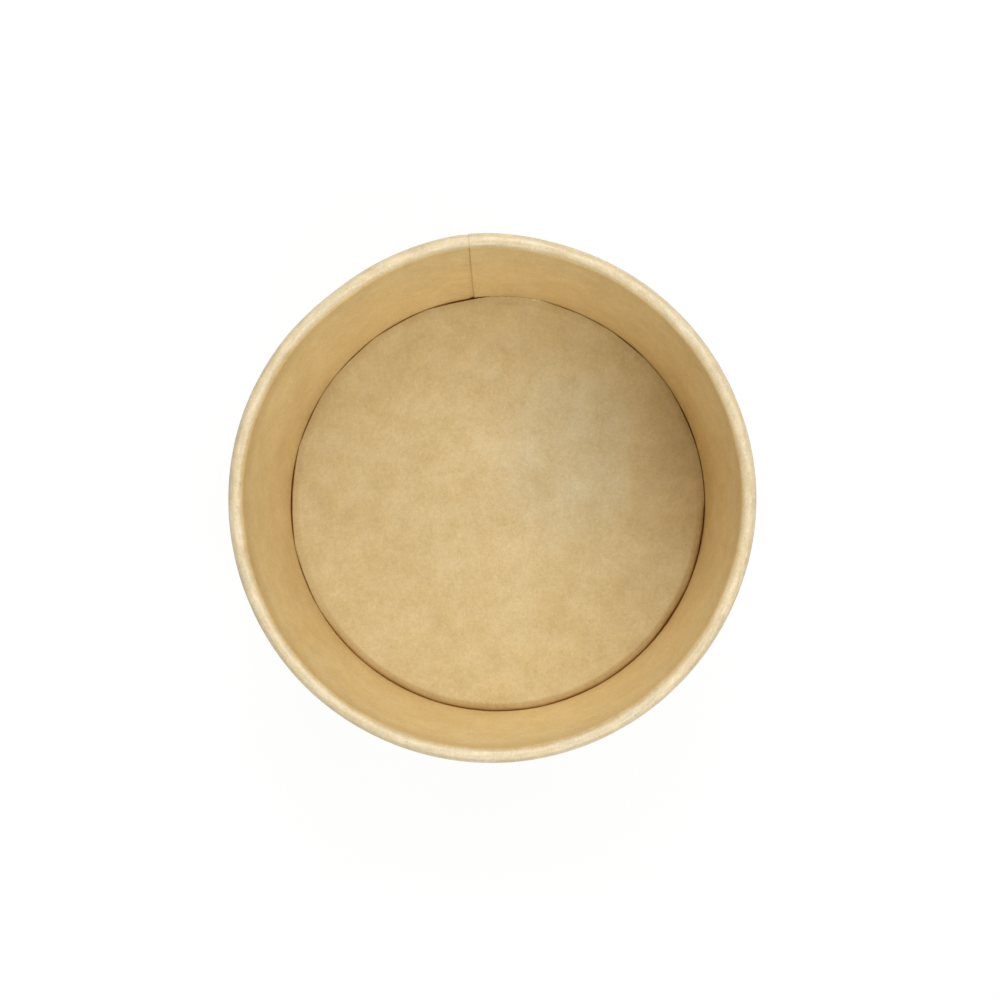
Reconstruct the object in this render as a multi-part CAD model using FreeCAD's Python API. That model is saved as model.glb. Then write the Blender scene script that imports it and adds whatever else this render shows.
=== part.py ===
import FreeCAD, Part
import math
import os

# A round paper tub for ice cream: one sheet of board rolled into a tapered
# wall, and one pressed disc of thinner board for its floor. The origin is the
# centre of the foot, +Z points up and the seam stands near +Y.
# All lengths are in millimetres and all angles in degrees.

# Overall sizes: the rim over its roll, the foot over its fold, the full height
rim_diameter = 90.0
foot_diameter = 75.0
height = 60.0

# Board thickness of the wall and of the floor, and the film that seals them
wall_board = 0.40
floor_board = 0.33
seal_film = 0.03

# The rolled rim: its thickness, the air between its turns, where its tighter
# second bend begins and where its hidden end lies
roll_diameter = 2.56
roll_turn_gap = 0.08
roll_tighten_angle = -45.0
roll_end_angle = -265.0

# The foot: the inside radius where the wall folds under, and the air between
# the folded hem and the floor above it
foot_bend_radius = 0.08
hem_gap = 0.60

# The floor: how high its top lies above the table, the inside radius of its
# fold and how far its skirt stops above the wall's folded foot
floor_height = 6.0
floor_bend_radius = 0.20
skirt_gap = 0.15

# The seam: where the inner end of the sheet is cut, how far the outer end laps
# over it, and how quickly the sheet steps out and settles down again
seam_angle = 95.0
lap_angle = 12.5
step_angle = 3.5
settle_angle = 13.0

# The seam is built in strips round the tub, each this wide at the most
strip_angle = 3.2

# Over the lap the roll holds double board: it is a little fatter, it stands
# out further, and its end is curled less far round
lap_roll_growth = 0.16
lap_bulge = 0.40
lap_roll_end_angle = -105.0


def direction(angle):
    """A unit vector in the section plane, as a radius and a height."""
    turn = math.radians(angle)
    return (math.cos(turn), math.sin(turn))


def shifted(point, along, distance):
    """The point moved by a distance along a direction."""
    return (point[0] + along[0] * distance, point[1] + along[1] * distance)


def at_azimuth(point, azimuth):
    """A point of the section placed in space at an azimuth round the tub."""
    around = direction(azimuth)
    return FreeCAD.Vector(point[0] * around[0], point[0] * around[1], point[1])


def smooth(share):
    """A soft step from 0 to 1 that starts and ends level."""
    share = min(max(share, 0.0), 1.0)
    return share * share * (3.0 - 2.0 * share)


class WallLine:
    """The straight stretch of the wall, tangent to its roll and its foot."""

    def __init__(self, bulge, roll_radius):
        # The coated face runs up from the foot to the inner side of the roll.
        self.roll_centre = (rim_diameter / 2 + bulge - roll_radius, height - roll_radius)
        self.foot = (foot_diameter / 2 - wall_board, 0.0)
        run = self.roll_centre[0] - self.foot[0]
        rise = self.roll_centre[1] - self.foot[1]
        to_centre = math.degrees(math.atan2(rise, run))
        aside = math.degrees(math.asin(roll_radius / math.hypot(run, rise)))
        self.slope = to_centre + aside
        self.up = direction(self.slope)
        self.outward = direction(self.slope - 90.0)

    def point(self, level, distance):
        """The point at a height, on the line moved outward by a distance."""
        start = shifted(self.foot, self.outward, distance)
        return shifted(start, self.up, (level - start[1]) / self.up[1])


def rounded_corner(before, corner, after, radius):
    """The two tangent points and the middle of an arc that rounds a corner."""
    back = (before[0] - corner[0], before[1] - corner[1])
    on = (after[0] - corner[0], after[1] - corner[1])
    back_length = math.hypot(*back)
    on_length = math.hypot(*on)
    back = (back[0] / back_length, back[1] / back_length)
    on = (on[0] / on_length, on[1] / on_length)
    half = math.acos(back[0] * on[0] + back[1] * on[1]) / 2.0
    reach = radius / math.tan(half)
    middle = (back[0] + on[0], back[1] + on[1])
    middle_length = math.hypot(*middle)
    middle = (middle[0] / middle_length, middle[1] / middle_length)
    return (
        shifted(corner, back, reach),
        shifted(corner, middle, radius / math.sin(half) - radius),
        shifted(corner, on, reach),
    )


def arc_points(centre, radius, start, end):
    """Start, middle and end of an arc round a centre in the section."""
    angles = (start, (start + end) / 2.0, end)
    return tuple(shifted(centre, direction(angle), radius) for angle in angles)


class SheetShape:
    """How the sheet lies at one azimuth: its step out, its lift and its roll."""

    def __init__(self, step_out=0.0, foot_lift=0.0, lap_share=0.0):
        self.step_out = step_out
        self.foot_lift = foot_lift
        self.roll_radius = roll_diameter / 2 + lap_roll_growth * lap_share
        self.line = WallLine(lap_bulge * lap_share, self.roll_radius)
        full_step = (wall_board + roll_turn_gap) / (1.0 + direction(roll_tighten_angle)[0])
        self.tightening = full_step * (1.0 - lap_share)
        self.roll_end = roll_end_angle + (lap_roll_end_angle - roll_end_angle) * lap_share

    def face(self, depth):
        """The sheet's face at a depth below its coated side, from hem to roll end."""
        line = self.line
        out = self.step_out + depth
        channel = floor_board + 2.0 * seal_film
        hem_top = floor_height - floor_board - floor_bend_radius - hem_gap
        fold_level = wall_board + self.foot_lift - out
        bend = foot_bend_radius + out
        hem_end = line.point(hem_top, -channel - out)
        hem_foot = line.point(fold_level, -channel - out)
        wall_foot = line.point(fold_level, out)
        centre = line.roll_centre
        roll_start = line.slope + 90.0
        first = arc_points(centre, self.roll_radius - out, roll_start, roll_tighten_angle)
        inner_centre = shifted(centre, direction(roll_tighten_angle), self.tightening)
        inner_radius = self.roll_radius - self.tightening - out
        second = arc_points(inner_centre, inner_radius, roll_tighten_angle, self.roll_end)
        hem_bend = rounded_corner(hem_end, hem_foot, wall_foot, bend)
        wall_bend = rounded_corner(hem_foot, wall_foot, first[0], bend)
        return [
            (hem_end, hem_bend[0]),
            hem_bend,
            (hem_bend[2], wall_bend[0]),
            wall_bend,
            (wall_bend[2], first[0]),
            first,
            second,
        ]

    def wire(self, azimuth):
        """The closed outline of the sheet's section at an azimuth."""
        coated = self.face(0.0)
        bare = [run[::-1] for run in reversed(self.face(wall_board))]
        roll_cut = (coated[-1][-1], bare[0][0])
        hem_cut = (bare[-1][-1], coated[0][0])
        return outline(coated + [roll_cut] + bare + [hem_cut], azimuth)


def outline(runs, azimuth):
    """A closed wire from straight runs of two points and arcs of three."""
    edges = []
    for run in runs:
        corners = [at_azimuth(point, azimuth) for point in run]
        if len(corners) == 2:
            edges.append(Part.LineSegment(*corners).toShape())
        else:
            edges.append(Part.Arc(*corners).toShape())
    return Part.Wire(edges)


def turned(wire, sweep):
    """The solid that a section makes when it is turned about the tub's axis."""
    axis = FreeCAD.Vector(0, 0, 1)
    return Part.Face(wire).revolve(FreeCAD.Vector(0, 0, 0), axis, sweep)


def lap_share(azimuth):
    """1 over the lap, falling softly to 0 on both sides of it."""
    lap_start = seam_angle - lap_angle
    before = smooth((azimuth - lap_start + settle_angle) / settle_angle)
    after = smooth((seam_angle + settle_angle - azimuth) / settle_angle)
    return min(before, after)


def stations(*bounds):
    """Azimuths from the first bound to the last, evenly spaced between bounds."""
    azimuths = [bounds[0]]
    for start, end in zip(bounds, bounds[1:]):
        count = math.ceil((end - start) / strip_angle)
        azimuths += [start + (end - start) * step / count for step in range(1, count + 1)]
    return azimuths


def inner_end():
    """The end of the sheet that lies inside, from the plain wall to its cut edge."""
    lap_start = seam_angle - lap_angle
    settle_start = lap_start - settle_angle
    step_start = lap_start - step_angle
    step_middle = lap_start - step_angle / 2.0
    wires = []
    for azimuth in stations(settle_start, step_start, step_middle, lap_start, seam_angle):
        lift = wall_board * smooth((azimuth - lap_start + step_angle) / step_angle)
        shape = SheetShape(0.0, lift, lap_share(azimuth))
        wires.append(shape.wire(azimuth))
    return Part.makeLoft(wires, True, True)


def outer_end():
    """The end that steps out by one board and laps over the inner end."""
    lap_start = seam_angle - lap_angle
    step_middle = seam_angle + step_angle / 2.0
    step_end = seam_angle + step_angle
    settle_end = seam_angle + settle_angle
    wires = []
    for azimuth in stations(lap_start, seam_angle, step_middle, step_end, settle_end):
        step_out = wall_board * smooth((seam_angle + step_angle - azimuth) / step_angle)
        shape = SheetShape(step_out, step_out, lap_share(azimuth))
        wires.append(shape.wire(azimuth))
    return Part.makeLoft(wires, True, True)


def side_wall():
    """The rolled sheet: hem, foot fold, tapered wall and rolled rim in one."""
    plain_start = seam_angle + settle_angle
    plain_sweep = 360.0 - lap_angle - 2.0 * settle_angle
    plain = turned(SheetShape().wire(plain_start), plain_sweep)
    return plain.fuse([inner_end(), outer_end()])


def base_disc():
    """The floor: a flat disc whose edge is folded down into a skirt."""
    line = SheetShape().line
    under = floor_height - floor_board
    # Over the lap two layers of the wall lie folded under the skirt.
    skirt_foot = 2.0 * wall_board + skirt_gap
    outer_radius = floor_bend_radius + floor_board
    top_centre = (0.0, floor_height)
    under_centre = (0.0, under)
    top_corner = line.point(floor_height, -seal_film)
    under_corner = line.point(under, -seal_film - floor_board)
    outer_foot = line.point(skirt_foot, -seal_film)
    inner_foot = line.point(skirt_foot, -seal_film - floor_board)
    top_bend = rounded_corner(top_centre, top_corner, outer_foot, outer_radius)
    under_bend = rounded_corner(inner_foot, under_corner, under_centre, floor_bend_radius)
    runs = [
        (top_centre, top_bend[0]),
        top_bend,
        (top_bend[2], outer_foot),
        (outer_foot, inner_foot),
        (inner_foot, under_bend[0]),
        under_bend,
        (under_bend[2], under_centre),
        (under_centre, top_centre),
    ]
    return turned(outline(runs, 0.0), 360.0)


def main():
    os.makedirs("parts", exist_ok=True)
    pieces = {"side_wall": side_wall(), "base_disc": base_disc()}
    for name, shape in pieces.items():
        box = shape.BoundBox
        print(name, "solids", len(shape.Solids), "valid", shape.isValid(),
              "volume", round(shape.Volume, 1), "faces", len(shape.Faces),
              "z", round(box.ZMin, 3), round(box.ZMax, 3))
        shape.exportStep("parts/" + name + ".step")


main()
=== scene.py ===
import math
import bpy
from mathutils import Matrix, Vector


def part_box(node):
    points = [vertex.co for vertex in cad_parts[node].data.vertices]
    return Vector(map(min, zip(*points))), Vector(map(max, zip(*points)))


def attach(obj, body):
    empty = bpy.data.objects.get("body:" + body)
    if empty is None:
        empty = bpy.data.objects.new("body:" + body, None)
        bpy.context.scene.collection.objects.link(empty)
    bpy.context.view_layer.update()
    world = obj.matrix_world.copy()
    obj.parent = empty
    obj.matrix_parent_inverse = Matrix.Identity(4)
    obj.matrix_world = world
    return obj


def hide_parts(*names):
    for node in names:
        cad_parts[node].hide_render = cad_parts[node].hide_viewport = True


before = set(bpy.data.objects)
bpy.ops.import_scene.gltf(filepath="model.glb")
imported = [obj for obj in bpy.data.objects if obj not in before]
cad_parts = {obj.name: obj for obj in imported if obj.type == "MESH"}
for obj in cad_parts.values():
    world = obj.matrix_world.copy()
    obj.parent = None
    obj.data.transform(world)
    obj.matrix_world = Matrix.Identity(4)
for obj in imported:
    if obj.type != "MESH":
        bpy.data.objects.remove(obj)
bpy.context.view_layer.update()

# The side wall: one fan-shaped sheet of kraft board, coated inside. It is rolled
# into a cone whose ends lap at the seam, its top is curled outward into the rim
# and its bottom is folded in and up round the floor's skirt.
MM = 0.001
wall_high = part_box("side_wall")[1]
floor_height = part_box("base_disc")[1].z
rim_radius = wall_high.x
tub_height = wall_high.z
foot_radius = 37.5 * MM
wall_board = 0.40 * MM
roll_radius = 1.28 * MM
tight_roll_radius = 1.00 * MM
roll_tighten = math.radians(-45)
roll_end = math.radians(-262)
lap_roll_end = math.radians(-105)
foot_bend = 0.08 * MM
hem_top = 4.87 * MM
skirt_room = 0.39 * MM
seam_azimuth = math.radians(96.6)
seam_lean = math.radians(-1.53)
lap_sweep = math.radians(12.5)
step_sweep = math.radians(2.0)


def start_line(name, place):
    """A new mesh object in edit mode that holds one selected corner at a place."""
    bpy.ops.object.select_all(action="DESELECT")
    bpy.ops.mesh.primitive_plane_add(size=MM)
    bpy.context.object.name = name
    bpy.ops.object.mode_set(mode="EDIT")
    bpy.ops.mesh.merge(type="CENTER")
    bpy.ops.transform.translate(value=place)
    return bpy.context.object


def draw_line(run, steps):
    """Extrudes the line's open end along a run, in equal steps."""
    for _ in range(steps):
        bpy.ops.mesh.extrude_region_move(TRANSFORM_OT_translate={"value": run / steps})


def bend_line(centre, sweep, steps):
    """Spins the line's open end round a centre in the section plane."""
    bpy.ops.mesh.spin(steps=steps, angle=sweep, center=centre, axis=(0, 1, 0))


def turn_round(sweep, steps):
    """Spins what is selected round the tub's own axis."""
    bpy.ops.mesh.spin(steps=steps, angle=sweep, center=(0, 0, 0), axis=(0, 0, 1))


def in_section(radius, height):
    """A point of the section plane."""
    return Vector((radius, 0, height))


def toward(angle):
    """A unit vector in the section plane."""
    return Vector((math.cos(angle), 0, math.sin(angle)))


# The wall's straight line leaves the foot and touches the roll's inner side.
roll_centre = in_section(rim_radius - roll_radius, tub_height - roll_radius)
wall_foot = in_section(foot_radius - wall_board, 0)
foot_to_roll = roll_centre - wall_foot
slope = math.atan2(foot_to_roll.z, foot_to_roll.x)
slope += math.asin(roll_radius / foot_to_roll.length)
up_wall = toward(slope)
off_wall = toward(slope - math.pi / 2)


def on_wall(height, distance=0.0):
    """The point of the coated face at a height, or that far outside it."""
    start = wall_foot + off_wall * distance
    return start + up_wall * ((height - start.z) / up_wall.z)


hem_foot = on_wall(wall_board, -skirt_room)
bend_reach_hem = foot_bend * math.tan((math.pi - slope) / 2)
bend_reach_wall = foot_bend / math.tan((math.pi - slope) / 2)
hem_end = on_wall(hem_top, -skirt_room)
hem_low = hem_foot + up_wall * bend_reach_hem
wall_low_corner = on_wall(wall_board)
wall_up = wall_low_corner + up_wall * bend_reach_wall

side_wall = start_line("side_wall_board", hem_end)
draw_line(hem_low - hem_end, 4)
bend_line(hem_low - off_wall * -foot_bend, slope, 4)
fold_start = hem_foot + Vector((bend_reach_hem, 0, 0))
fold_end = wall_low_corner - Vector((bend_reach_wall, 0, 0))
draw_line(fold_end - fold_start, 2)
bend_line(fold_end + Vector((0, 0, foot_bend)), math.pi - slope, 4)
touch = roll_centre + toward(slope + math.pi / 2) * roll_radius
draw_line(touch - wall_up, 22)
bend_line(roll_centre, -(slope + math.pi / 2 - roll_tighten), 22)
tight_centre = roll_centre + toward(roll_tighten) * (roll_radius - tight_roll_radius)
bend_line(tight_centre, -(roll_tighten - roll_end), 14)

# The part of the line that ends up as the roll's hidden second turn is marked,
# from where the roll ends over the lap.
hidden_turn = side_wall.vertex_groups.new(name="hidden_turn")
bpy.ops.object.mode_set(mode="OBJECT")
within_roll = 1.2 * MM
for corner in side_wall.data.vertices:
    arm = corner.co - roll_centre
    bearing = math.atan2(arm.z, arm.x)
    if arm.length < within_roll and not lap_roll_end < bearing < math.pi / 2:
        hidden_turn.add([corner.index], 1, "REPLACE")
bpy.ops.object.mode_set(mode="EDIT")
bpy.ops.mesh.select_all(action="SELECT")
bpy.ops.transform.rotate(value=-seam_azimuth, orient_axis="Z", center_override=(0, 0, 0))


def soft_step(value, start, end):
    """0 before the start and 1 past the end, soft between them."""
    share = min(max((value - start) / (end - start), 0), 1)
    return share * share * (3 - 2 * share)


def mark_ring(group, weight):
    """Puts the ring that is selected into a group, at a weight."""
    side_wall.vertex_groups.active = side_wall.vertex_groups[group]
    bpy.context.scene.tool_settings.vertex_group_weight = weight
    bpy.ops.object.vertex_group_assign()


# The line is turned round the tub from the inner cut edge, clockwise, until the
# sheet has passed its own start and lapped over it. Both ends are marked by group.
side_wall.vertex_groups.new(name="inner_end")
side_wall.vertex_groups.new(name="outer_end")
mark_ring("inner_end", 1)
turn_round(lap_sweep, 12)
step_rings = 8
for ring in range(1, step_rings + 1):
    turn_round(step_sweep / step_rings, 1)
    mark_ring("inner_end", 1 - soft_step(ring, 0, step_rings))
turn_round(2 * math.pi - lap_sweep - 2 * step_sweep, 300)
for ring in range(1, step_rings + 1):
    turn_round(step_sweep / step_rings, 1)
    mark_ring("outer_end", soft_step(ring, 0, step_rings))
turn_round(lap_sweep, 12)
bpy.ops.mesh.select_all(action="SELECT")
bpy.ops.mesh.normals_make_consistent(inside=False)
bpy.ops.object.mode_set(mode="OBJECT")


def coated_side_is_outward(sheet, height):
    """Whether the faces near a height have normals that point off the axis."""
    face = min(sheet.data.polygons, key=lambda f: abs(f.center.z - height))
    return face.normal.dot(Vector((face.center.x, face.center.y, 0))) > 0


def flip_sheet():
    """Turns the open sheet's normals over."""
    bpy.ops.object.mode_set(mode="EDIT")
    bpy.ops.mesh.select_all(action="SELECT")
    bpy.ops.mesh.flip_normals()
    bpy.ops.object.mode_set(mode="OBJECT")


def finish_modifier(piece, kind, **settings):
    """Adds a modifier with its settings and applies it at once."""
    modifier = piece.modifiers.new(kind, kind)
    for setting, value in settings.items():
        setattr(modifier, setting, value)
    bpy.ops.object.modifier_apply(modifier=modifier.name)


def weight_in(corner, group):
    """A corner's weight in a group of the wall, or 0 where it isn't in it."""
    index = side_wall.vertex_groups[group].index
    return next((held.weight for held in corner.groups if held.group == index), 0)


def push(piece, reach, offset_at):
    """Moves each corner by its own offset, which a displacement reads as weights."""
    offsets = [offset_at(corner) for corner in piece.data.vertices]
    for axis, letter in enumerate("XYZ"):
        group = piece.vertex_groups.new(name="push_" + letter)
        for index, offset in enumerate(offsets):
            group.add([index], 0.5 + offset[axis] / (2 * reach), "REPLACE")
        finish_modifier(piece, "DISPLACE", direction=letter, strength=2 * reach,
                        mid_level=0, vertex_group=group.name)
        piece.vertex_groups.remove(piece.vertex_groups["push_" + letter])
    bpy.ops.object.mode_set(mode="EDIT")
    bpy.ops.mesh.select_all(action="SELECT")
    bpy.ops.transform.translate(value=(-reach, -reach, -reach))
    bpy.ops.object.mode_set(mode="OBJECT")


def azimuth_of(place):
    """Where a place lies round the tub, in degrees from +X."""
    return math.degrees(math.atan2(place.y, place.x))


def swell(azimuth, middle, spread):
    """1 at a middle azimuth, falling softly to 0 on both sides, in degrees."""
    away = (azimuth - middle + 180) % 360 - 180
    return math.exp(-0.5 * (away / spread) ** 2)


# The tub isn't quite round: the stiff lap bulges and the wall is flat beside it.
# Each swell is an azimuth, a spread in degrees and a height in millimetres.
rim_swells = ((95, 8.5, 0.46), (130, 9, -0.45), (150, 8, -0.12), (225, 14, 0.15),
              (320, 25, -0.12), (0, 12, 0.13))
foot_swells = ((79, 4, 0.20), (90, 5, 0.10))


def out_of_round(azimuth, height):
    """How far the wall stands off its round shape at an azimuth and a height."""
    up = min(max(height / tub_height, 0), 1)
    at_rim = sum(swell(azimuth, middle, spread) * out for middle, spread, out in rim_swells)
    at_foot = sum(swell(azimuth, middle, spread) * out for middle, spread, out in foot_swells)
    return (at_rim * up + at_foot * (1 - up)) * MM


def wall_offset(corner):
    """The swell outward, and the lift that lets the lap's two folds lie stacked."""
    place = corner.co
    outward = Vector((place.x, place.y, 0)).normalized()
    ends = max(weight_in(corner, "inner_end"), weight_in(corner, "outer_end"))
    near_foot = min(max((hem_top - place.z) / (hem_top - wall_board), 0), 1)
    lift = Vector((0, 0, wall_board * ends * near_foot))
    return outward * out_of_round(azimuth_of(place), place.z) + lift


def pressed(place):
    """How much of its thickness the inner end keeps: less in the pressed roll."""
    at_roll = soft_step(place.z, tub_height - 3.2 * MM, tub_height - 2.0 * MM)
    off_foot = soft_step(place.z, 3 * MM, hem_top)
    return 1 - off_foot * (0.30 + 0.38 * at_roll)


# The lap is pressed while it is sealed, so the inner end is thinner there. The
# outer end steps off the axis by as much, and so it lies against the inner one.
side_wall.vertex_groups.new(name="thickness")
side_wall.vertex_groups.new(name="step_out")
for corner in side_wall.data.vertices:
    kept = pressed(corner.co)
    thin = 1 - weight_in(corner, "inner_end") * (1 - kept)
    side_wall.vertex_groups["thickness"].add([corner.index], thin, "REPLACE")
    step_out = weight_in(corner, "outer_end") * kept
    side_wall.vertex_groups["step_out"].add([corner.index], step_out, "REPLACE")

# The whole seam leans a little, because its cut isn't quite radial. Where the
# two ends lap, the roll holds two boards and has no second turn.
if coated_side_is_outward(side_wall, tub_height / 2):
    flip_sheet()
finish_modifier(side_wall, "DISPLACE", strength=-wall_board, mid_level=0,
                vertex_group="step_out")
push(side_wall, 1.2 * MM, wall_offset)
bpy.ops.object.mode_set(mode="EDIT")
bpy.ops.mesh.select_all(action="DESELECT")
bpy.ops.object.mode_set(mode="OBJECT")
doubled = [max(weight_in(corner, "inner_end"), weight_in(corner, "outer_end")) > 0
           and weight_in(corner, "hidden_turn") > 0.5 for corner in side_wall.data.vertices]
for face in side_wall.data.polygons:
    face.select = all(doubled[index] for index in face.vertices)
bpy.ops.object.mode_set(mode="EDIT")
bpy.ops.mesh.select_mode(type="FACE")
bpy.ops.mesh.delete(type="FACE")
bpy.ops.mesh.select_mode(type="VERT")
bpy.ops.object.mode_set(mode="OBJECT")
finish_modifier(side_wall, "SIMPLE_DEFORM", deform_method="TWIST", deform_axis="Z",
                angle=seam_lean)


def thicken(piece, board, **settings):
    """Gives a sheet its board, away from the coated side, and a slot for each look.

    The three slots are for the coated face, the bare face and the cut edges.
    """
    for _ in range(3):
        piece.data.materials.append(None)
    finish_modifier(piece, "SOLIDIFY", thickness=board, offset=-1, use_even_offset=True,
                    use_rim=True, material_offset=1, material_offset_rim=2, **settings)
    bpy.ops.object.shade_smooth_by_angle(angle=math.radians(40))


thicken(side_wall, wall_board, vertex_group="thickness")
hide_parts("side_wall")
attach(side_wall, "root")


# The board's look: unbleached kraft pulp, a cloudy brown sheet of short fibres with
# a few dark specks. Inside it has a thin satin coat, outside it is bare and matt.
def new_effect(name, inputs, outputs):
    """An empty node group with named inputs and outputs."""
    tree = bpy.data.node_groups.new(name, "ShaderNodeTree")
    for label, kind in inputs:
        tree.interface.new_socket(label, in_out="INPUT", socket_type=kind)
    for label, kind in outputs:
        tree.interface.new_socket(label, in_out="OUTPUT", socket_type=kind)
    return tree, tree.nodes.new("NodeGroupInput"), tree.nodes.new("NodeGroupOutput")


def add_node(tree, kind, **settings):
    """Adds a node with its settings."""
    node = tree.nodes.new(kind)
    for setting, value in settings.items():
        setattr(node, setting, value)
    return node


def feed(tree, socket, value):
    """Links an output to an input socket, or writes a plain value on it."""
    if isinstance(value, bpy.types.NodeSocket):
        tree.links.new(value, socket)
    else:
        socket.default_value = value


def reckon(tree, operation, first, second=0.0, third=0.0):
    """A sum, a product or another simple operation on numbers."""
    node = add_node(tree, "ShaderNodeMath", operation=operation)
    for socket, value in zip(node.inputs, (first, second, third)):
        feed(tree, socket, value)
    return node.outputs[0]


def range_of(tree, value, from_low, from_high, to_low=0.0, to_high=1.0):
    """A value carried softly from one range to another and kept inside it."""
    node = add_node(tree, "ShaderNodeMapRange", interpolation_type="SMOOTHSTEP")
    for label, number in (("Value", value), ("From Min", from_low), ("From Max", from_high),
                          ("To Min", to_low), ("To Max", to_high)):
        feed(tree, node.inputs[label], number)
    return node.outputs["Result"]


def cloud(tree, place, scale, detail=2.0, roughness=0.5, stretch=(1, 1, 1), turn=(0, 0, 0)):
    """Noise between 0 and 1 at a scale per metre, turned by angles in degrees."""
    mapping = add_node(tree, "ShaderNodeMapping", vector_type="TEXTURE")
    feed(tree, mapping.inputs["Vector"], place)
    mapping.inputs["Rotation"].default_value = [math.radians(angle) for angle in turn]
    mapping.inputs["Scale"].default_value = stretch
    noise = add_node(tree, "ShaderNodeTexNoise")
    feed(tree, noise.inputs["Vector"], mapping.outputs["Vector"])
    noise.inputs["Scale"].default_value = scale
    noise.inputs["Detail"].default_value = detail
    noise.inputs["Roughness"].default_value = roughness
    return noise.outputs["Fac"]


def blend(tree, share, first, second, kind="MIX"):
    """One colour mixed over another by a share."""
    node = add_node(tree, "ShaderNodeMix", data_type="RGBA", blend_type=kind)
    feed(tree, node.inputs["Factor"], share)
    feed(tree, node.inputs["A"], first)
    feed(tree, node.inputs["B"], second)
    return node.outputs["Result"]


def use_effect(tree, effect, **inputs):
    """Puts a node group into a material and feeds its named inputs."""
    node = add_node(tree, "ShaderNodeGroup", node_tree=effect)
    for label, value in inputs.items():
        feed(tree, node.inputs[label], value)
    return node.outputs


# The pulp itself: clouds, crossing fibres and rare specks. It darkens blue the
# most and red the least, as brown pulp does.
pulp, pulp_in, pulp_out = new_effect(
    "kraft_pulp",
    (("Place", "NodeSocketVector"), ("Colour", "NodeSocketColor"),
     ("Mottle", "NodeSocketFloat"), ("Fibres", "NodeSocketFloat")),
    (("Colour", "NodeSocketColor"), ("Height", "NodeSocketFloat")))
pulp_place = pulp_in.outputs["Place"]
mottle = cloud(pulp, pulp_place, 150, 6, 0.86)
mottle = reckon(pulp, "SUBTRACT", mottle, 0.5)
mottle = reckon(pulp, "MULTIPLY", mottle, pulp_in.outputs["Mottle"])
fibres = 0.0
for turn in ((20, 35, 15), (-40, 10, 75), (60, -25, 130), (5, 80, 170)):
    strands = cloud(pulp, pulp_place, 3000, 2, 0.6, (4.5, 0.8, 0.8), turn)
    fibres = reckon(pulp, "MAXIMUM", fibres, strands)
fibres = reckon(pulp, "SUBTRACT", fibres, 0.6)
pulp_height = fibres
fibres = reckon(pulp, "MULTIPLY", fibres, pulp_in.outputs["Fibres"])
light = reckon(pulp, "ADD", mottle, fibres)
speck = add_node(pulp, "ShaderNodeTexVoronoi")
speck.inputs["Scale"].default_value = 420
feed(pulp, speck.inputs["Vector"], pulp_place)
speck_near = range_of(pulp, speck.outputs["Distance"], 0.03, 0.10, 1.0, 0.0)
speck_split = add_node(pulp, "ShaderNodeSeparateColor")
feed(pulp, speck_split.inputs["Color"], speck.outputs["Color"])
speck_rare = reckon(pulp, "GREATER_THAN", speck_split.outputs["Red"], 0.90)
speck_mask = reckon(pulp, "MULTIPLY", speck_near, speck_rare)
light = reckon(pulp, "SUBTRACT", light, reckon(pulp, "MULTIPLY", speck_mask, 0.16))
tint = range_of(pulp, cloud(pulp, pulp_place, 160, 5, 0.8), 0.3, 0.7)
tint = blend(pulp, tint, (1.01, 0.995, 0.95, 1), (0.99, 1.005, 1.05, 1))
tinted = blend(pulp, 1.0, pulp_in.outputs["Colour"], tint, "MULTIPLY")
grey_light = add_node(pulp, "ShaderNodeVectorMath", operation="SCALE")
grey_light.inputs[0].default_value = (1.0, 1.33, 2.0)
feed(pulp, grey_light.inputs["Scale"], light)
full_light = add_node(pulp, "ShaderNodeVectorMath", operation="ADD")
feed(pulp, full_light.inputs[0], grey_light.outputs["Vector"])
full_light.inputs[1].default_value = (1, 1, 1)
lit_colour = add_node(pulp, "ShaderNodeVectorMath", operation="MULTIPLY")
feed(pulp, lit_colour.inputs[0], tinted)
feed(pulp, lit_colour.inputs[1], full_light.outputs["Vector"])
feed(pulp, pulp_out.inputs["Colour"], lit_colour.outputs["Vector"])
feed(pulp, pulp_out.inputs["Height"], pulp_height)


def new_board(name, rough):
    """A material of kraft pulp, with its place on the object ready to use."""
    paint = bpy.data.materials.new(name)
    paint.use_nodes = True
    tree = paint.node_tree
    surface = tree.nodes["Principled BSDF"]
    surface.inputs["Roughness"].default_value = rough
    place = add_node(tree, "ShaderNodeTexCoord").outputs["Object"]
    return paint, tree, surface, place


def lay_pulp(tree, surface, place, colour, mottle_share, fibre_share, bump):
    """Lays the pulp's colour and its fine relief on a surface."""
    laid = use_effect(tree, pulp, Place=place, Colour=colour, Mottle=mottle_share,
                      Fibres=fibre_share)
    feed(tree, surface.inputs["Base Color"], laid["Colour"])
    relief = add_node(tree, "ShaderNodeBump")
    relief.inputs["Strength"].default_value = 1.0
    relief.inputs["Distance"].default_value = bump
    feed(tree, relief.inputs["Height"], laid["Height"])
    feed(tree, surface.inputs["Normal"], relief.outputs["Normal"])


# Where a point lies round the tub: its distance from the axis and its turn
round_place, round_in, round_out = new_effect(
    "round_place",
    (("Place", "NodeSocketVector"),),
    (("Radius", "NodeSocketFloat"), ("Turn", "NodeSocketFloat")))
spot = add_node(round_place, "ShaderNodeSeparateXYZ")
feed(round_place, spot.inputs["Vector"], round_in.outputs["Place"])
across = reckon(round_place, "POWER", spot.outputs["X"], 2)
across = reckon(round_place, "ADD", across, reckon(round_place, "POWER", spot.outputs["Y"], 2))
feed(round_place, round_out.inputs["Radius"], reckon(round_place, "SQRT", across))
turn = reckon(round_place, "ARCTAN2", spot.outputs["Y"], spot.outputs["X"])
feed(round_place, round_out.inputs["Turn"], turn)

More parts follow.
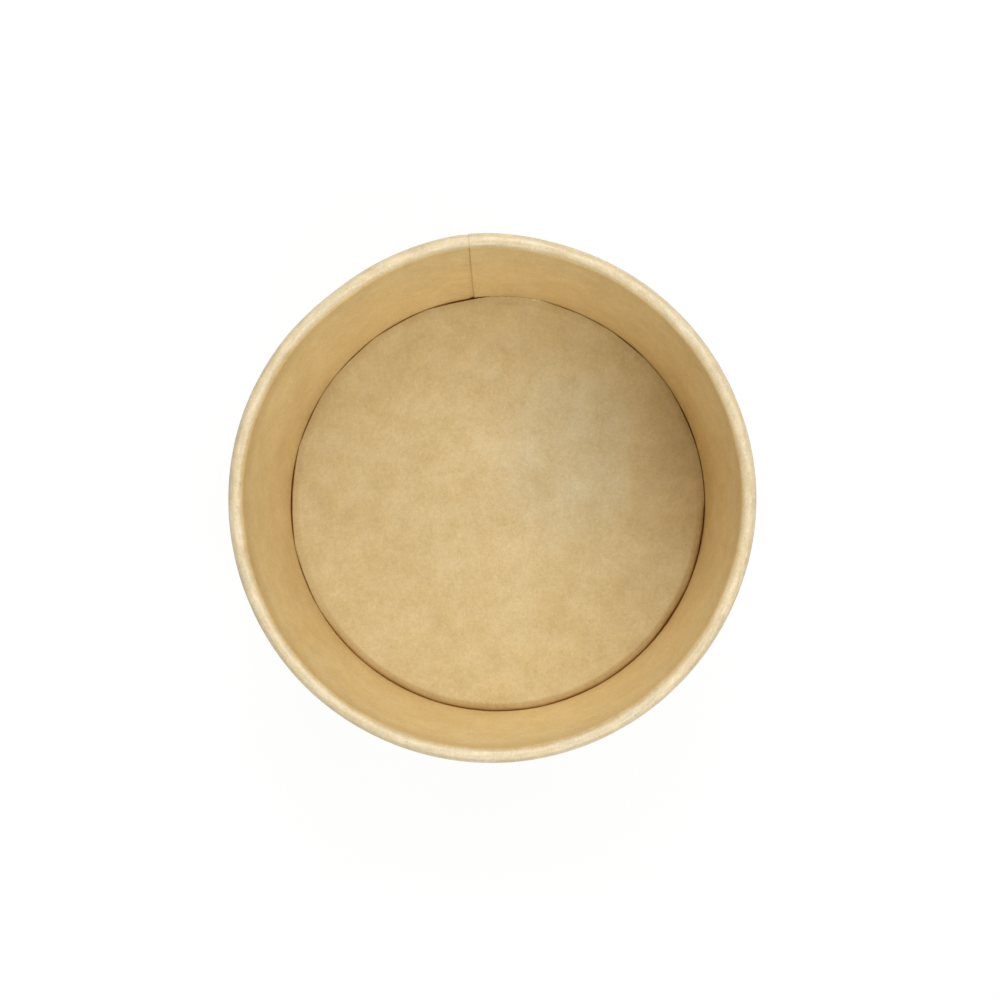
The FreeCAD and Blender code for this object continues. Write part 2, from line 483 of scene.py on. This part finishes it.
# Painted shade for the groove between the wall and the floor's fold: a deep brown,
# darker on the right and less red on the lower side.
painted_groove_shade, groove_in, groove_out = new_effect(
    "painted_groove_shade", (("Place", "NodeSocketVector"),), (("Colour", "NodeSocketColor"),))
spot = add_node(painted_groove_shade, "ShaderNodeSeparateXYZ")
feed(painted_groove_shade, spot.inputs["Vector"], groove_in.outputs["Place"])
right_side = range_of(painted_groove_shade, spot.outputs["X"], 0, 30 * MM)
low_side = range_of(painted_groove_shade, spot.outputs["Y"], -34 * MM, -20 * MM, 1.0, 0.0)
brown = blend(painted_groove_shade, right_side, (0.62, 0.25, 0.08, 1), (0.42, 0.17, 0.06, 1))
brown = blend(painted_groove_shade, low_side, brown, (0.49, 0.255, 0.09, 1))
feed(painted_groove_shade, groove_out.inputs["Colour"], brown)

# The coated inside of the wall. Over the rolled rim the coat is paler, partly
# because it is stretched and partly as a painted sheen, with faint streaks of
# painted sheen along the roll. The roll's inner flank is painted a little
# browner on the lower left, as painted shade.
coated_wall, tree, surface, place = new_board("coated_wall", 0.45)
spot = add_node(tree, "ShaderNodeSeparateXYZ")
feed(tree, spot.inputs["Vector"], place)
radius, turned = use_effect(tree, round_place, Place=place)
roll_level = reckon(tree, "SUBTRACT", radius, roll_centre.x)
roll_level = reckon(tree, "MULTIPLY_ADD", roll_level, 0.6, spot.outputs["Z"])
on_roll = range_of(tree, roll_level, tub_height - 1.6 * MM, tub_height - 0.6 * MM)
along = add_node(tree, "ShaderNodeCombineXYZ")
feed(tree, along.inputs["X"], reckon(tree, "MULTIPLY", turned, 6 * MM))
feed(tree, along.inputs["Y"], radius)
feed(tree, along.inputs["Z"], spot.outputs["Z"])
sheen_streaks = cloud(tree, along.outputs["Vector"], 1500, 3, 0.7)
sheen_streaks = range_of(tree, sheen_streaks, 0.3, 0.7, 0.90, 1.10)
# The roll's pale tint: partly the stretched coat, partly painted sheen.
stretched_coat_and_sheen = add_node(tree, "ShaderNodeVectorMath", operation="SCALE")
stretched_coat_and_sheen.inputs[0].default_value = (0.518, 0.422, 0.262)
feed(tree, stretched_coat_and_sheen.inputs["Scale"], sheen_streaks)
wall_colour = blend(tree, on_roll, (0.652, 0.490, 0.229, 1), stretched_coat_and_sheen.outputs["Vector"])
# Painted shade darkens the roll's inner flank and the wall's top, most on the lower left.
lower_left = add_node(tree, "ShaderNodeVectorMath", operation="DOT_PRODUCT")
feed(tree, lower_left.inputs[0], place)
lower_left.inputs[1].default_value = (-0.71 / roll_centre.x, -0.71 / roll_centre.x, 0)
painted_flank_shade = range_of(tree, radius, roll_centre.x - 1.1 * MM, roll_centre.x - 0.3 * MM, 1.0, 0.0)
under_roll = range_of(tree, spot.outputs["Z"], tub_height - 10 * MM, tub_height - 2.6 * MM)
painted_flank_shade = reckon(tree, "MULTIPLY", painted_flank_shade, under_roll)
painted_flank_shade = reckon(tree, "MULTIPLY", painted_flank_shade, range_of(tree, lower_left.outputs["Value"], -0.9, 1.0))
wall_colour = blend(tree, painted_flank_shade, wall_colour, (0.87, 0.83, 0.77, 1), "MULTIPLY")
# The wall's foot down in the groove is painted with the groove's shade.
shaded_wall_foot = range_of(tree, spot.outputs["Z"], floor_height - 0.5 * MM, floor_height - 0.1 * MM,
                     1.0, 0.0)
groove_shade_colour = use_effect(tree, painted_groove_shade, Place=place)["Colour"]
wall_colour = blend(tree, shaded_wall_foot, wall_colour, groove_shade_colour)
# A thin dark line along the seam is painted shade of the lap's narrow step.
seam_line = reckon(tree, "MULTIPLY_ADD", spot.outputs["Z"], seam_lean / tub_height, seam_azimuth)
off_seam = reckon(tree, "SUBTRACT", turned, seam_line)
off_seam = reckon(tree, "ABSOLUTE", reckon(tree, "MULTIPLY", off_seam, radius))
seam_shade = range_of(tree, off_seam, 0.05 * MM, 0.16 * MM, 0.35, 0.0)
wall_colour = blend(tree, seam_shade, wall_colour, (0.36, 0.21, 0.10, 1))
grain = add_node(tree, "ShaderNodeMapping")
feed(tree, grain.inputs["Vector"], place)
grain.inputs["Scale"].default_value = (1.0, 1.0, 0.55)
lay_pulp(tree, surface, grain.outputs["Vector"], wall_colour, 0.58, 0.60, 0.03 * MM)

# Outside and underneath the board is bare, matt and a little darker. Its raw cut
# edges are paler and rougher.
bare_board, tree, surface, place = new_board("bare_board", 0.85)
lay_pulp(tree, surface, place, (0.50, 0.35, 0.18, 1), 0.60, 0.55, 0.06 * MM)
cut_board, tree, surface, place = new_board("cut_board", 0.95)
lay_pulp(tree, surface, place, (0.56, 0.41, 0.23, 1), 0.70, 0.80, 0.08 * MM)


def paint_faces(piece, coated):
    """Puts the coated, the bare and the cut look in the piece's three slots."""
    for index, paint in enumerate((coated, bare_board, cut_board)):
        piece.data.materials[index] = paint


paint_faces(side_wall, coated_wall)


# The floor: one disc of thinner kraft board, its edge pressed down into a skirt
# over a rounded fold. The skirt is sealed between the wall and the wall's hem.
floor_board = 0.33 * MM
fold_radius = 0.95 * MM
seal_room = 0.02 * MM
skirt_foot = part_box("base_disc")[0].z

fold_turn = slope
disc_corner = on_wall(floor_height, -seal_room)
fold_reach = fold_radius * math.tan(fold_turn / 2)
fold_start = disc_corner - Vector((fold_reach, 0, 0))
fold_end = disc_corner - up_wall * fold_reach
base_disc = start_line("base_disc_board", in_section(0, floor_height))
draw_line(fold_start - in_section(0, floor_height), 24)
fold_middle = fold_start - Vector((0, 0, fold_radius))
bend_line(fold_middle, -fold_turn, 8)
draw_line(on_wall(skirt_foot, -seal_room) - fold_end, 10)
bpy.ops.mesh.select_all(action="SELECT")
turn_round(2 * math.pi, 360)
bpy.ops.mesh.select_all(action="SELECT")
bpy.ops.mesh.remove_doubles(threshold=0.0001 * MM)
bpy.ops.mesh.normals_make_consistent(inside=False)
bpy.ops.object.mode_set(mode="OBJECT")
if min(base_disc.data.polygons, key=lambda f: f.center.length).normal.z < 0:
    flip_sheet()

# The skirt is pleated, so the fold runs in short arches from one corner to the
# next. Each pair is a corner's azimuth and the depth of the arch after it, which
# fold_room carries to millimetres. The disc sits a little up and left in the wall.
pleats = ((33.5, 0.03), (44, 0.10), (57, 0.06), (66, 0.07), (77, 0.0), (92, 0.17),
          (110, 0.10), (126, 0.08), (141, 0.03), (148, 0.09), (164, 0.18), (192, 0.09),
          (210, 0.08), (231, 0.08), (253, 0.09), (268, 0.08), (283, 0.12), (300, 0.05),
          (316, 0.20), (336.5, 0.14), (362, 0.02), (376, 0.10), (393.5, 0.03))
first_pleat = pleats[0][0]


def fold_room(azimuth):
    """How far the fold stands off the wall at an azimuth.

    On its lower side the disc is loose all along and its arches are shallower.
    """
    azimuth = (azimuth - first_pleat) % 360 + first_pleat
    arch = 0
    for (corner, out), (next_corner, _) in zip(pleats, pleats[1:]):
        if corner <= azimuth < next_corner:
            share = (azimuth - corner) / (next_corner - corner)
            arch = out * math.sin(math.pi * share) ** 0.75
    loose = soft_step(azimuth, 222, 236) * (1 - soft_step(azimuth, 384, 393.5))
    depth = 1.65 - 0.70 * loose
    return (0.01 + 0.08 * loose + depth * arch) * MM


def disc_offset(corner):
    """The edge follows the wall's swells and stands off it by the fold's room.

    The fold is creased most sharply at the lap, where it is pressed to the wall.
    """
    place = corner.co
    radius = math.hypot(place.x, place.y)
    if radius < 1 * MM:
        return Vector((0, 0, 0))
    outward = Vector((place.x, place.y, 0)) / radius
    azimuth = azimuth_of(place)
    at_edge = soft_step(radius, 28 * MM, 36.5 * MM)
    off_skirt = soft_step(place.z, 4.3 * MM, 5.4 * MM)
    out = out_of_round(azimuth, place.z) - fold_room(azimuth) * off_skirt
    arm = Vector((radius - fold_middle.x, place.z - fold_middle.z))
    if min(arm) < 0:
        return outward * out * at_edge
    low_side = soft_step(azimuth % 360, 200, 236)
    crease = 0.60 + 0.35 * swell(azimuth, 84, 8) - 0.50 * low_side
    arm *= (arm.length / max(arm) - 1) * crease
    return outward * (out * at_edge + arm.x) + Vector((0, 0, arm.y))


push(base_disc, 0.8 * MM, disc_offset)
thicken(base_disc, floor_board)
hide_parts("base_disc")
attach(base_disc, "root")

# The coated top of the floor: its middle is lighter with a painted highlight, a soft
# grey painted reflection lies right of the middle, its right side is darker with
# painted shade, the pressed fold is browner, partly its stretched board and partly
# painted shade and the wall's reflection, and two small pale marks lie at two corners.
coated_floor, tree, surface, place = new_board("coated_floor", 0.45)
spot = add_node(tree, "ShaderNodeSeparateXYZ")
feed(tree, spot.inputs["Vector"], place)


def patch(tree, spot, middle, size, softness):
    """A soft oval mask round a middle, with its half sizes in metres."""
    shares = []
    for label, centre, half in zip("XY", middle, size):
        shift = reckon(tree, "SUBTRACT", spot.outputs[label], centre)
        shares.append(reckon(tree, "POWER", reckon(tree, "DIVIDE", shift, half), 2))
    away = reckon(tree, "ADD", *shares)
    return range_of(tree, away, 1.0 - softness, 1.0 + softness, 1.0, 0.0)


painted_reflection_patch = patch(tree, spot, (13 * MM, 9 * MM), (11 * MM, 14 * MM), 0.9)
middle = patch(tree, spot, (0, 0), (13 * MM, 13 * MM), 0.9)
floor_right_shade = patch(tree, spot, (32 * MM, 8 * MM), (9 * MM, 16 * MM), 0.9)
radius = use_effect(tree, round_place, Place=place)["Radius"]
on_fold = range_of(tree, radius, disc_corner.x - 1.7 * MM, disc_corner.x - 1.1 * MM)
lower_right = add_node(tree, "ShaderNodeVectorMath", operation="DOT_PRODUCT")
feed(tree, lower_right.inputs[0], place)
lower_right.inputs[1].default_value = (0.26 / disc_corner.x, -0.97 / disc_corner.x, 0)
fold_shade_tone = range_of(tree, lower_right.outputs["Value"], 0.1, 0.6, 0.22, 0.80)
long_pale_mark = patch(tree, spot, (7.2 * MM, 37.1 * MM), (0.9 * MM, 0.2 * MM), 0.8)
short_pale_mark = patch(tree, spot, (-3.4 * MM, 37.4 * MM), (0.3 * MM, 0.2 * MM), 0.8)
pale_marks = reckon(tree, "MAXIMUM", long_pale_mark, short_pale_mark)
# The fold's skirt down in the groove is painted with the groove's shade.
under_fold = range_of(tree, spot.outputs["Z"], floor_height - 0.55 * MM,
                      floor_height - 0.15 * MM, 1.0, 0.0)
# The middle is lightened as a painted highlight.
floor_colour = blend(tree, reckon(tree, "MULTIPLY", middle, 0.5),
                     (0.588, 0.468, 0.238, 1), (0.68, 0.55, 0.300, 1))
# A soft grey painted reflection lies right of the middle.
floor_colour = blend(tree, reckon(tree, "MULTIPLY", painted_reflection_patch, 0.40),
                     floor_colour, (0.55, 0.50, 0.335, 1))
# The right side of the floor is darkened as painted shade.
floor_colour = blend(tree, reckon(tree, "MULTIPLY", floor_right_shade, 0.5),
                     floor_colour, (0.57, 0.425, 0.195, 1))
# The fold is painted browner: partly its stretched board, partly painted shade and the wall's
# reflection, most on the lower right.
floor_colour = blend(tree, reckon(tree, "MULTIPLY", on_fold, fold_shade_tone),
                     floor_colour, (0.44, 0.30, 0.120, 1))
# Two small pale marks lie on the fold at two corners.
floor_colour = blend(tree, pale_marks, floor_colour, (0.72, 0.61, 0.40, 1))
groove_shade_colour = use_effect(tree, painted_groove_shade, Place=place)["Colour"]
floor_colour = blend(tree, under_fold, floor_colour, groove_shade_colour)
lay_pulp(tree, surface, place, floor_colour, 0.62, 0.46, 0.03 * MM)
paint_faces(base_disc, coated_floor)


# The table that the tub stands on: a plain sheet that the camera sees as white,
# and that keeps the tub's soft shadow.
bpy.ops.object.select_all(action="DESELECT")
bpy.ops.mesh.primitive_plane_add(size=6)
table = bpy.context.object
table.name = "white_table"
table_paint = bpy.data.materials.new("white_table")
table_paint.use_nodes = True
tree = table_paint.node_tree
surface = tree.nodes["Principled BSDF"]
surface.inputs["Base Color"].default_value = (0.85, 0.85, 0.85, 1)
surface.inputs["Roughness"].default_value = 0.8
glow = add_node(tree, "ShaderNodeEmission")
glow.inputs["Strength"].default_value = 1
rays = add_node(tree, "ShaderNodeLightPath")
seen = reckon(tree, "ADD", rays.outputs["Is Camera Ray"], rays.outputs["Is Glossy Ray"])
seen = reckon(tree, "ADD", seen, rays.outputs["Is Transmission Ray"])
seen = reckon(tree, "MINIMUM", seen, 1.0)
whiter = add_node(tree, "ShaderNodeMixShader")
feed(tree, whiter.inputs["Fac"], reckon(tree, "MULTIPLY", seen, 0.92))
tree.links.new(surface.outputs["BSDF"], whiter.inputs[1])
tree.links.new(glow.outputs["Emission"], whiter.inputs[2])
tree.links.new(whiter.outputs["Shader"], tree.nodes["Material Output"].inputs["Surface"])
table.data.materials.append(table_paint)

# The light: a dim white room and a ring of broad soft lamps at two heights.
# Each lamp is its elevation and azimuth in degrees and its power in watts.
room = bpy.data.worlds.new("room")
bpy.context.scene.world = room
room.use_nodes = True
room.node_tree.nodes["Background"].inputs["Color"].default_value = (1, 1, 1, 1)
room.node_tree.nodes["Background"].inputs["Strength"].default_value = 0.15
lamps = ((42, 0, 0.66), (42, 45, 1.53), (42, 90, 3.91), (42, 135, 2.33), (42, 225, 0.80),
         (42, 270, 3.82), (42, 315, 2.42), (66, 0, 0.47), (66, 45, 1.70), (66, 90, 3.12),
         (66, 180, 0.57), (66, 315, 1.90))
lamp_distance = 1.1
lamp_width = 0.45
for elevation, azimuth, power in lamps:
    rise = math.radians(elevation)
    turn = math.radians(azimuth)
    toward_lamp = Vector((math.cos(rise) * math.cos(turn),
                          math.cos(rise) * math.sin(turn), math.sin(rise)))
    bpy.ops.object.light_add(type="AREA", location=toward_lamp * lamp_distance)
    lamp = bpy.context.object
    lamp.name = "lamp_%d_%d" % (elevation, azimuth)
    lamp.data.shape = "DISK"
    lamp.data.size = lamp_width
    lamp.data.energy = power
    lamp.rotation_euler = (-toward_lamp).to_track_quat("-Z", "Y").to_euler()

# The camera stands above the tub, a little to its right and front, and looks
# almost straight down into it. Photo up is +Y.
camera_aside = Vector((16.3 * MM, -13.9 * MM, 0))
camera_rise = 0.82
aim_point = Vector((1.41 * MM, -0.19 * MM, tub_height))
bpy.ops.object.camera_add()
camera = bpy.context.object
camera.location = Vector((0, 0, tub_height + camera_rise)) + camera_aside
backward = (camera.location - aim_point).normalized()
rightward = Vector((0, 1, 0)).cross(backward).normalized()
upward = backward.cross(rightward)
camera.rotation_euler = Matrix((rightward, upward, backward)).transposed().to_euler()
camera.data.lens = 173.45
bpy.context.scene.camera = camera
bpy.context.scene.view_settings.view_transform = "Standard"
